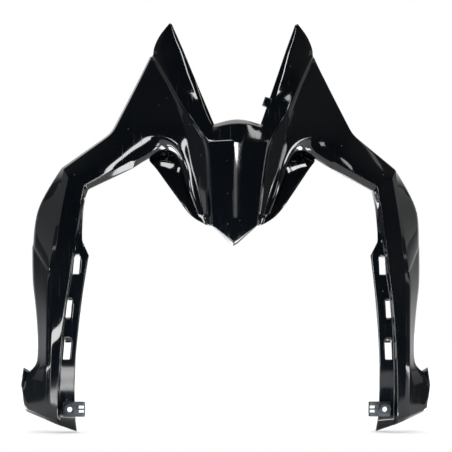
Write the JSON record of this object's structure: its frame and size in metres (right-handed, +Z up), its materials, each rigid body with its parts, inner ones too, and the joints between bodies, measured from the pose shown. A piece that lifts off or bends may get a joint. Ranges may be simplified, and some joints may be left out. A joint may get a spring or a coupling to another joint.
{
  "type": "scooter tail light cover",
  "caption": "Gloss black moulded scooter tail light cover: beaked centre, upright horns, arms and long legs with slotted flanges, screwed on by steel clip nuts.",
  "frame": {"origin": "midway between the axes of the clip nut screws, on the front face of the flange", "axes": "+X to the side, +Y backwards into the vehicle, +Z up"},
  "size_m": [0.3532, 0.0884, 0.3496],
  "materials": {
    "gloss_black_abs": "moulded gloss black ABS with fine scuffs",
    "spring_steel": "bare phosphated spring steel"
  },
  "bodies": {
    "root": {"cover": "gloss_black_abs", "clip_nut_right": "spring_steel", "clip_nut_left": "spring_steel"}
  },
  "joints": []
}
